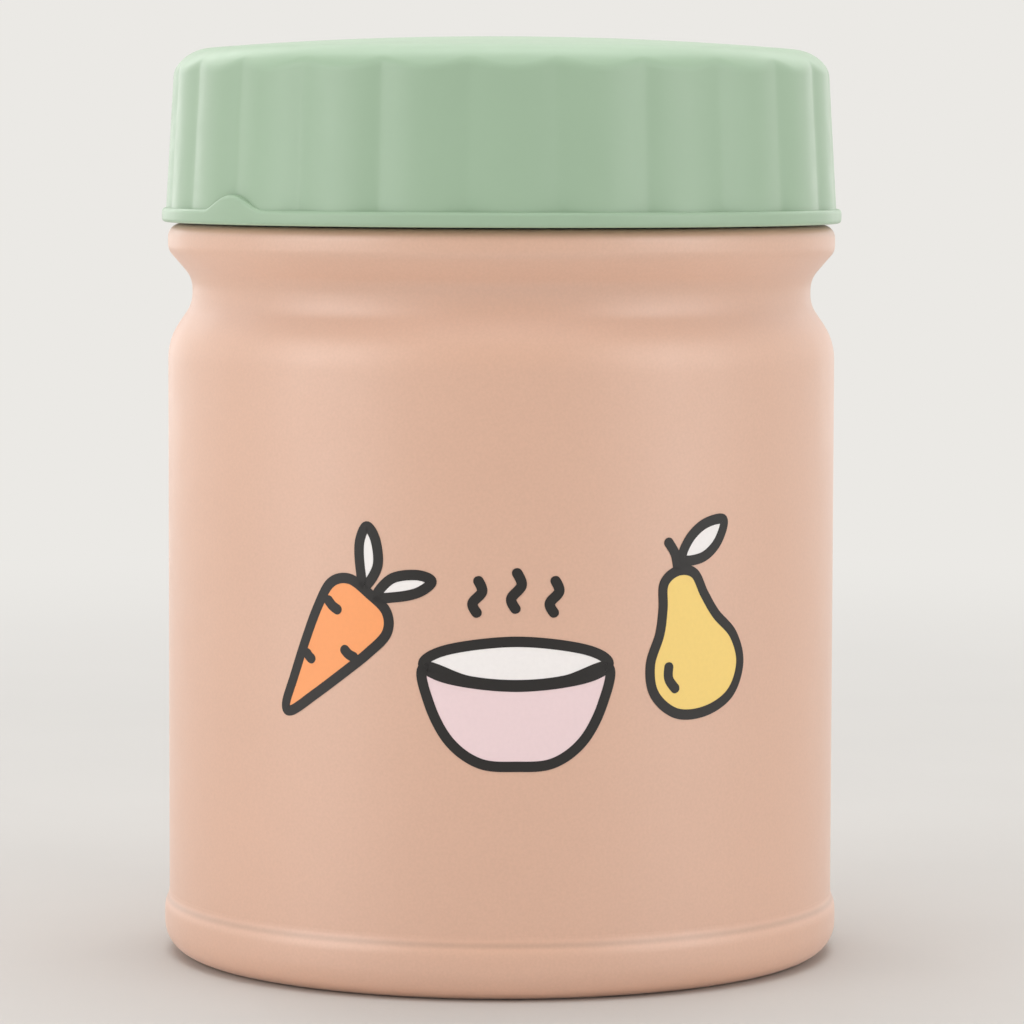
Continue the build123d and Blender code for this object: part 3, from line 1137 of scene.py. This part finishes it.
SOUP_BOWL = Motif(
    name="soup_bowl",
    place=(2.0, 39.0),
    tilt=0.0,
    areas=(
        (
            PINK_INK,
            (
                (
                    (-11.6, 3.0), (-10.9, -1.6), (-8.4, -6.2), (-4.6, -8.9), (0, -9.3),
                    (4.6, -8.9), (8.4, -6.2), (10.9, -1.6), (11.6, 3.0), (6.0, 1.4), (0, 0.9),
                    (-6.0, 1.4),
                ),
            ),
        ),
        (
            WHITE_INK,
            (
                (
                    (-11.7, 3.4), (-8.4, 5.3), (0, 6.3), (8.4, 5.3), (11.7, 3.4), (8.4, 1.6),
                    (0, 0.7), (-8.4, 1.6),
                ),
            ),
        ),
    ),
    lines=(
        ((-4.6, 9.4), (-5.5, 11.0), (-4.3, 12.6), (-5.1, 14.4)),
        ((0.2, 9.9), (-0.7, 11.6), (0.6, 13.4), (-0.3, 15.4)),
        ((5.0, 9.4), (4.1, 11.0), (5.3, 12.6), (4.5, 14.4)),
    ),
)
PEAR = Motif(
    name="pear",
    place=(25.0, 46.5),
    tilt=14.0,
    areas=(
        (
            YELLOW_INK,
            (
                (
                    (0, 7.4), (2.3, 6.4), (3.2, 3.4), (4.4, 0.4), (6.6, -3.0), (6.9, -6.8),
                    (4.4, -10.0), (0, -11.0), (-4.4, -10.0), (-6.9, -6.8), (-6.6, -3.0),
                    (-4.4, 0.4), (-3.2, 3.4), (-2.3, 6.4),
                ),
            ),
        ),
        (
            WHITE_INK,
            (((1.0, 8.6), (2.6, 10.8), (5.4, 12.0), (8.4, 11.6), (6.8, 9.2), (4.0, 8.0)),),
        ),
    ),
    lines=(
        ((0, 7.4), (0.1, 9.6), (-0.7, 11.8)),
        ((-3.9, -3.4), (-4.5, -5.4), (-3.6, -7.4)),
    ),
)


@dataclass(frozen=True)
class Print:
    """Screen print on the jar's wall: the filled areas and, over them, the lines.

    Attributes:
        wall: radius of the wall.
        fill_height: how far the areas stand out from it.
        line_height: how far the lines stand out from it.
        line_width: width of the lines.
        motifs: the pictures.
    """

    wall: float
    fill_height: float = 0.03
    line_height: float = 0.06
    line_width: float = 1.3
    motifs: tuple[Motif, ...] = (CARROT, SOUP_BOWL, PEAR)

    def build(self) -> None:
        """Prints the motifs."""
        fill, outline = Film(self.wall, self.fill_height), Film(self.wall, self.line_height)
        for motif in self.motifs:
            motif.build(fill, outline, self.line_width)


# ---- Outer lid ----------------------------------------------------------------------------------
@dataclass(frozen=True)
class ScrewLid:
    """Outer lid: one moulding with grip lobes, rim bead, bump and dome, and the parts inside."""

    foot: float = 96.55
    bead_top: float = 98.45
    bead_radius: float = 44.8
    bead_round: float = 0.54
    foot_round: float = 0.5
    skirt_radius: float = 44.26
    draft: float = math.tan(math.radians(3.4))
    lobes: int = 24
    first_lobe: float = 2.0
    crease_depth: float = 0.55
    crease_softness: float = 0.9
    edge_height: float = 116.2
    ridge_height: float = 119.25
    ridge_inset: float = 4.3
    bevel_bulge: float = 0.78
    edge_round: float = 2.2
    crown: float = 1.65
    dome_power: float = 0.7
    bump_angle: float = -50.5
    bump_width: float = 12.6
    bump_height: float = 1.9
    bump_power: float = 0.85
    cavity_foot: float = 42.01
    ceiling: float = 117.1
    ceiling_flat: float = 34.0
    press_ring: tuple[float, float] = (36.8, 38.0)
    press_ring_foot: float = 114.1
    boss_radius: float = 5.8
    boss_foot: float = 107.0
    socket_radius: float = 4.1
    snap_radius: float = 4.7
    snap_low: float = 109.0
    snap_high: float = 110.3
    ceiling_round: float = 1.5
    ceiling_bend: float = 2.0
    root_round: float = 0.4
    edge_break: float = 0.3
    snap_break: float = 0.15
    lug_radius: float = 39.8
    lug_top: float = 109.5
    lug_height: float = 1.2
    lug_angle: float = 14.0
    lug_root: float = 0.4
    lug_rounds: tuple[float, float] = (0.25, 0.2)
    lug_ends: tuple[tuple[float, float], ...] = (
        (-1.0, 0.35), (-0.94, 0.12), (-0.8, 0.0), (-0.4, 0.0), (0.0, 0.0),
        (0.4, 0.0), (0.8, 0.0), (0.94, 0.12), (1.0, 0.35),
    )
    lugs: int = 6
    thread: Thread = Thread(foot=100.05, first=26.0, sweep=52.0, half_width=0.75, crest=1.75)
    thread_rise: float = 0.6

    def cavity_radius(self, height: float) -> float:
        """Radius of the inner wall at a height, narrower upwards by the draft."""
        return self.cavity_foot - (height - self.bead_top) * self.draft

    def columns(self) -> Array:
        """Angles of the grid's columns, closer together towards the creases.

        Within a lobe they follow the sine of even steps.

        Returns:
            One row of angles in radians.
        """
        half, steps = 180 / self.lobes, 24
        within = half * np.sin(np.linspace(-0.5, 0.5, steps, endpoint=False) * math.pi)
        middles = self.first_lobe + 2 * half * np.arange(self.lobes)
        return np.radians((middles[:, None] + within).reshape(1, -1))

    def lobe_radius(self, angle: Array, height: Array) -> Array:
        """Radius of the lobed skirt.

        A lobe is the arc through its middle and its two creases. With m the middle's radius and c
        the creases', its centre lies (m² - c²) / 2(m - c cos h) from the axis, h being half of a
        lobe's angle. Near a crease the angle is eased by a root of squares, which softens it.

        Args:
            angle: angles in radians.
            height: heights.

        Returns:
            Radii.
        """
        half = math.pi / self.lobes
        turn = (angle - math.radians(self.first_lobe) + half) % (2 * half) - half
        soft = math.radians(self.crease_softness)
        crease = np.sqrt((half - np.abs(turn)) ** 2 + soft**2) - soft
        turn = half - crease * half / (math.hypot(half, soft) - soft)
        middle = self.skirt_radius - (height - self.bead_top) * self.draft
        valley = middle - self.crease_depth
        centre = (middle**2 - valley**2) / (2 * (middle - valley * math.cos(half)))
        aside = centre * np.sin(turn)
        return centre * np.cos(turn) + np.sqrt((middle - centre) ** 2 - aside**2)

    def bead_edge(self, angle: Array) -> Array:
        """Height of the bead's upper edge: level, with a broad cosine bell at the alignment bump.

        Args:
            angle: angles in radians.

        Returns:
            Heights.
        """
        off = (angle - math.radians(self.bump_angle) + math.pi) % FULL_TURN - math.pi
        share = np.clip(np.abs(off) * self.bead_radius / (self.bump_width / 2), 0, 1)
        bell = (1 + np.cos(math.pi * share)) / 2
        return self.bead_top + self.bump_height * bell**self.bump_power

    def outside(self, angle: Array) -> tuple[Array, Array]:
        """Outer face from the dome's middle down to the bead's lower edge.

        The dome is an arc level in the middle. The bevel is an arc bulged out of its chord. A round
        tangent to the bevel and to the skirt joins them: its centre is the point that lies one
        round's radius inside the skirt's line and inside the bevel's circle. The bead is a band
        with rounded edges.

        Args:
            angle: angles of the columns.

        Returns:
            Radii and heights, rows by columns.
        """
        edge = self.lobe_radius(angle, np.array(self.edge_height))
        foot = self.lobe_radius(angle, np.array(self.bead_top))
        edge_radius = self.skirt_radius - (self.edge_height - self.bead_top) * self.draft
        ridge = edge_radius - self.ridge_inset
        top = self.ridge_height + self.crown
        dome = (ridge**2 + self.crown**2) / (2 * self.crown)
        dome_radius = ridge * shares(rows=16, first=0) ** self.dome_power
        dome_height = top - dome + np.sqrt(dome**2 - dome_radius**2)

        start = np.array((ridge, self.ridge_height))
        end = np.array((edge_radius, self.edge_height))
        bulge = (start + end) / 2 + (0, self.bevel_bulge)
        rows = 2 * np.array((bulge - start, end - start))
        centre = np.linalg.solve(rows, (bulge @ bulge - start @ start, end @ end - start @ start))
        bevel = float(np.linalg.norm(start - centre))

        slope = (foot - edge) / (self.edge_height - self.bead_top)
        lean = np.sqrt(1 + slope**2)
        offset = edge + slope * self.edge_height - self.edge_round * lean - centre[0]
        middle = offset * slope + centre[1]
        reach = (bevel - self.edge_round) ** 2 - offset**2 - centre[1] ** 2
        round_height = (middle + np.sqrt(middle**2 + lean**2 * reach)) / lean**2
        round_radius = centre[0] + offset - slope * round_height

        first = math.atan2(*(start - centre)[::-1])
        joint = np.arctan2(round_height - centre[1], round_radius - centre[0])
        turn = first + (joint - first) * shares(rows=14)
        bevel_radius = centre[0] + bevel * np.cos(turn)
        bevel_height = centre[1] + bevel * np.sin(turn)
        turn = joint + (np.arctan(slope) - joint) * shares(rows=10)
        edge_radii = round_radius + self.edge_round * np.cos(turn)
        edge_heights = round_height + self.edge_round * np.sin(turn)

        seam = self.bead_edge(angle)
        skirt_height = edge_heights[-1:] + (seam - edge_heights[-1:]) * shares(rows=14)
        skirt_radius = self.lobe_radius(angle, skirt_height)
        turn = math.pi / 2 * shares(rows=8, first=0)[::-1]
        upper_radius = self.bead_radius - self.bead_round * (1 - np.cos(turn))
        upper_height = seam - self.bead_round * (1 - np.sin(turn))
        turn = turn[::-1]
        lower_radius = self.bead_radius - self.foot_round * (1 - np.cos(turn))
        lower_height = self.foot + self.foot_round * (1 - np.sin(turn))

        parts = (
            (dome_radius, dome_height),
            (bevel_radius, bevel_height),
            (edge_radii, edge_heights),
            (skirt_radius, skirt_height),
            (upper_radius, upper_height),
            (lower_radius, lower_height),
        )
        wide = np.zeros_like(angle)
        radii, heights = (np.vstack([part[side] + wide for part in parts]) for side in (0, 1))
        return radii, heights

    def inside(self) -> Array:
        """Inner profile: wall, ceiling, press ring, sloped middle and boss with its snap groove.

        Returns:
            Points from the lower edge to the axis.
        """
        middle = self.ceiling + self.crown
        near, far = self.press_ring
        soft, fine = self.edge_break, self.snap_break
        return rounded(
            (self.bead_radius - self.foot_round, self.foot),
            (self.cavity_radius(self.foot), self.foot, self.root_round),
            (self.cavity_radius(self.ceiling), self.ceiling, self.ceiling_round),
            (far, self.ceiling, soft),
            (far, self.press_ring_foot, soft),
            (near, self.press_ring_foot, soft),
            (near, self.ceiling, soft),
            (self.ceiling_flat, self.ceiling, self.ceiling_bend),
            (self.boss_radius, middle, self.root_round),
            (self.boss_radius, self.boss_foot, soft),
            (self.socket_radius, self.boss_foot, soft),
            (self.socket_radius, self.snap_low, fine),
            (self.snap_radius, self.snap_low, fine),
            (self.snap_radius, self.snap_high, fine),
            (self.socket_radius, self.snap_high, fine),
            (self.socket_radius, middle, soft),
            (0, middle),
        )[1:]

    def moulding(self) -> Surface:
        """Whole moulding: the outer face and the inner profile in one closed surface.

        Returns:
            The surface.
        """
        angle = self.columns()
        radius, height = self.outside(angle)
        inner = self.inside()
        radius = np.vstack((radius, inner[:, :1] + np.zeros_like(angle)))
        height = np.vstack((height, inner[:, 1:] + np.zeros_like(angle)))
        return Surface.closed(around(radius, height, angle), ends=True)

    def snap_lugs(self) -> Surface:
        """Lugs that take the inner lid along, flat on top and sloped below.

        Each is its section carried round the axis, and towards its ends the section leans back to
        the wall.

        Returns:
            The lugs in one surface.
        """
        wall = self.cavity_radius(self.lug_top) + self.lug_root
        low = self.lug_top - self.lug_height
        section = rounded(
            (self.lug_radius, low, self.lug_rounds[0]),
            (wall, low - self.lug_height),
            (wall, self.lug_top),
            (self.lug_radius, self.lug_top, self.lug_rounds[1]),
            loop=True,
        )
        share, ease = np.array(self.lug_ends).T[:, :, None]
        radius = section[:, 0] + (wall - section[:, 0]) * ease
        places = np.radians(90 + np.arange(self.lugs) * 360 / self.lugs)
        spread = math.radians(self.lug_angle / 2) * share
        grids = [around(radius, section[:, 1], place + spread) for place in places]
        return Surface.joined([Surface.closed(grid, ends=True) for grid in grids])

    def build(self) -> None:
        """Builds the lid's pieces."""
        self.moulding().piece("lid_moulding", Body.CAP, SAGE_PLASTIC, ["lid_cap"])
        self.snap_lugs().piece("lid_snap_lugs", Body.CAP, SAGE_PLASTIC)
        root = self.cavity_radius(self.thread.foot + self.thread_rise)
        self.thread.beads(root).piece("lid_thread", Body.CAP, SAGE_PLASTIC)


# ---- Inner lid and valve ------------------------------------------------------------------------
@dataclass(frozen=True)
class InnerLid:
    """Insulated plug with its sealing ring; the cover and the valve keep their CAD nodes."""

    plug_floor: float = 95.6
    wall: float = 1.6
    tip_radius: float = 34.2
    plug_radius: float = 35.4
    groove_radius: float = 33.2
    groove_low: float = 98.8
    groove_top: float = 103.2
    flange_low: float = 112.1
    vent_radius: float = 2.2
    vent_land: float = 6.5
    tip_land: float = 5.0
    panel_depth: float = 0.35
    panel_slope: float = 0.4
    edge_break: float = 0.2
    vent_round: float = 0.35
    tip_round: float = 1.5
    groove_round: float = 0.15
    plug_round: float = 0.25
    ring_gap: float = 0.1
    ring_foot: float = 1.25
    lip_radius: float = 36.15
    lip_rise: float = 2.1
    lip_height: float = 0.6
    lip_round: float = 0.28
    bead_reach: float = 2.1
    bead_height: float = 1.0
    bead_root_round: float = 0.3

    def cup(self) -> Surface:
        """Plug: floor with the vent, tip, groove for the ring and upper wall.

        Returns:
            Moulding turned about Z.
        """
        floor = self.plug_floor + self.wall
        inner = self.groove_radius - self.wall
        ledge = self.groove_top + self.wall
        panel = self.plug_floor + self.panel_depth
        rim = self.tip_radius - self.tip_land
        soft = self.edge_break
        return turned(
            rounded(
                (self.vent_radius, self.plug_floor, self.vent_round),
                (self.vent_land, self.plug_floor, soft),
                (self.vent_land + self.panel_slope, panel, soft),
                (rim - self.panel_slope, panel, soft),
                (rim, self.plug_floor, soft),
                (self.tip_radius, self.plug_floor, self.tip_round),
                (self.tip_radius, self.groove_low, soft),
                (self.groove_radius, self.groove_low, self.groove_round),
                (self.groove_radius, self.groove_top, self.groove_round),
                (self.plug_radius, self.groove_top, self.plug_round),
                (self.plug_radius, self.flange_low),
                (self.plug_radius - self.wall, self.flange_low),
                (self.plug_radius - self.wall, ledge),
                (inner, ledge),
                (inner, floor),
                (self.vent_radius, floor),
                loop=True,
            )
        )

    def ring(self) -> Surface:
        """Sealing ring with two soft lips towards the jar's step.

        Returns:
            Moulding turned about Z.
        """
        root, low = self.groove_radius, self.groove_low + self.ring_gap
        top = self.groove_top - self.ring_gap
        lip, edge, corner = low + self.lip_rise, self.lip_round, self.plug_round
        bead = root + self.bead_reach
        waist = bead - self.edge_break
        return turned(
            rounded(
                (root, low, self.groove_round),
                (root + self.ring_foot, low, corner),
                (self.lip_radius, lip, edge),
                (self.lip_radius, lip + self.lip_height, edge),
                (waist, top - self.bead_height, self.bead_root_round),
                (bead, top - self.bead_height / 2, corner),
                (waist, top, corner),
                (root, top, self.groove_round),
                loop=True,
            )
        )

    def build(self) -> None:
        """Builds the plug and its ring, and dresses the cover, the foam and the valve."""
        self.cup().piece("lid_plug", Body.INNER_LID, GREY_PLASTIC, ["inner_lid_cup"])
        self.ring().piece("sealing_ring", Body.INNER_LID, SEAL_SILICONE, ["lid_gasket"])
        dress(GREY_PLASTIC, "inner_lid_cover")
        dress(RIGID_FOAM, "inner_lid_foam")
        dress(VALVE_PLASTIC, "valve_stem")
        dress(SEAL_SILICONE, "valve_gasket")


# ---- Studio -------------------------------------------------------------------------------------
@dataclass(frozen=True)
class SoftBox:
    """Rectangular soft light.

    Attributes:
        name: its name.
        place: where it stands, in metres.
        size: its width and height, in metres.
        power: its power, in watts.
        glossy: whether gloss shows it, or it only lights the matt share of things.
    """

    name: str
    place: Place
    size: tuple[float, float]
    power: float
    glossy: bool = True

    def build(self, aim: Place) -> None:
        """Sets the light up.

        Args:
            aim: point that it faces, in metres.
        """
        light = bpy.data.lights.new(self.name, "AREA")
        light.shape = "RECTANGLE"
        light.size, light.size_y = self.size
        light.energy = self.power
        item = linked(bpy.data.objects.new(self.name, light))
        item.location = self.place
        item.visible_camera = False
        item.visible_glossy = self.glossy
        away = item.location - type(item.location)(aim)
        item.rotation_euler = away.to_track_quat("Z", "Y").to_euler()


@dataclass(frozen=True)
class Studio:
    """Pale floor, soft lights and the camera."""

    floor_colour: Colour = (192, 189, 185)
    floor_bounce: Colour = (248, 247, 245)
    backdrop: Colour = (235, 233, 229)
    daylight: Colour = (250, 250, 252)
    ambient: float = 0.26
    floor_rings: tuple[float, ...] = (0.0, 200.0, 600.0, 1500.0, 4000.0, 9000.0)
    floor_depth: float = 20.0
    fade_start: float = 0.12
    fade_end: float = 0.62
    aim: Place = (0.0, 0.0, 0.06)
    lens: float = 171.9
    sensor: float = 36.0
    camera_place: Place = (0.0, -0.64735, 0.10693)
    camera_pitch: float = 4.311
    camera_yaw: float = 0.118
    camera_roll: float = 0.16
    lights: tuple[SoftBox, ...] = (
        SoftBox("left_front_softbox", (-0.901, -0.631, 0.35), (0.6, 1.1), 3.4),
        SoftBox("left_softbox", (-1.063, -0.285, 0.35), (0.6, 1.1), 2.6),
        SoftBox("left_back_softbox", (-0.953, 0.55, 0.35), (0.6, 1.1), 1.25),
        SoftBox("left_rim_softbox", (-0.55, 0.953, 0.35), (0.4, 1.1), 1.8),
        SoftBox("right_front_softbox", (0.901, -0.631, 0.35), (0.6, 1.1), 2.95),
        SoftBox("right_softbox", (1.063, -0.285, 0.35), (0.6, 1.1), 1.95),
        SoftBox("right_back_softbox", (0.953, 0.55, 0.35), (0.6, 1.1), 0.85),
        SoftBox("right_rim_softbox", (0.55, 0.953, 0.35), (0.4, 1.1), 1.15),
        SoftBox("top_softbox", (0.0, -0.22, 1.08), (0.9, 0.9), 7.2, glossy=False),
        SoftBox("crown_softbox", (0.0, 0.3, 1.05), (0.9, 0.45), 3.0),
        SoftBox("back_softbox", (0.0, 0.7, 0.8), (1.2, 0.6), 1.55),
    )

    def world(self) -> None:
        """Even pale surroundings, shown as the backdrop to the camera and in gloss and glass."""
        world = bpy.data.worlds.new("studio")
        bpy.context.scene.world = world
        world.use_nodes = True
        graph = Graph("studio_world", world.node_tree)
        lit, shown = (
            graph.add("ShaderNodeBackground", {"Color": linear(colour), "Strength": strength})
            for colour, strength in ((self.daylight, self.ambient), (self.backdrop, 1.0))
        )
        sockets = {0: graph.seen(), 1: lit.outputs[0], 2: shown.outputs[0]}
        mix = graph.add("ShaderNodeMixShader", sockets)
        graph.add("ShaderNodeOutputWorld", {"Surface": mix.outputs[0]})

    def floor(self) -> None:
        """Round floor whose far part fades into the backdrop for the camera.

        It is a flat disc of rings, closed below by a shallow cone.
        """
        graph = Graph("studio_floor")
        cloud = graph.noise(size=60, detail=3)
        tone, bounce = (
            graph.tones(cloud, colour, low=0.985, high=1.015)
            for colour in (self.floor_colour, self.floor_bounce)
        )
        sockets = {
            "Base Color": graph.blend(graph.seen(), bounce, tone),
            "Roughness": 0.75,
            "Normal": graph.bump(graph.noise(size=0.8, detail=3), depth=0.03),
        }
        matt = graph.add("ShaderNodeBsdfPrincipled", sockets)
        sockets = {"Color": linear(self.backdrop), "Strength": 1.0}
        shown = graph.add("ShaderNodeEmission", sockets)
        distance = graph.add("ShaderNodeVectorMath", {0: graph.place}, operation="LENGTH")
        span = {"From Min": self.fade_start, "From Max": self.fade_end}
        sockets = {"Value": distance.outputs["Value"], **span}
        far = graph.add("ShaderNodeMapRange", sockets, interpolation_type="SMOOTHSTEP")
        fade = graph.maths("MULTIPLY", far.outputs[0], graph.seen())
        sockets = {0: fade, 1: matt.outputs[0], 2: shown.outputs[0]}
        mix = graph.add("ShaderNodeMixShader", sockets)
        graph.add("ShaderNodeOutputMaterial", {"Surface": mix.outputs[0]})

        radius = np.append(self.floor_rings, 0.0)[:, None]
        height = np.append(np.zeros(len(self.floor_rings)), -self.floor_depth)[:, None]
        surface = Surface.closed(around(radius, height, turn_angles(columns=96)), ends=True)
        surface.item("floor", graph.material)

    def camera(self) -> None:
        """Camera at the eye's place, looking slightly down and a little askew."""
        camera = bpy.data.cameras.new("camera")
        camera.lens, camera.sensor_width = self.lens, self.sensor
        item = linked(bpy.data.objects.new("camera", camera))
        item.location = self.camera_place
        turn = (90 - self.camera_pitch, -self.camera_roll, -self.camera_yaw)
        item.rotation_euler = tuple(math.radians(angle) for angle in turn)
        bpy.context.scene.camera = item

    def build(self) -> None:
        """Sets up surroundings, floor, lights and camera."""
        bpy.context.scene.view_settings.view_transform = "Standard"
        self.world()
        self.floor()
        for light in self.lights:
            light.build(self.aim)
        self.camera()


def corners(box: Sequence) -> list[list[float]]:
    """Lowest and highest corner of a box as plain lists."""
    return [[float(part) for part in corner] for corner in box]


def main() -> None:
    """Builds the jar, its print, the lids and the studio."""
    logging.basicConfig(level=logging.INFO, format="%(message)s")
    jar = Jar()
    jar.build()
    Print(jar.body_radius).build()
    ScrewLid().build()
    InnerLid().build()
    Studio().build()


if __name__ == "__main__":
    main()
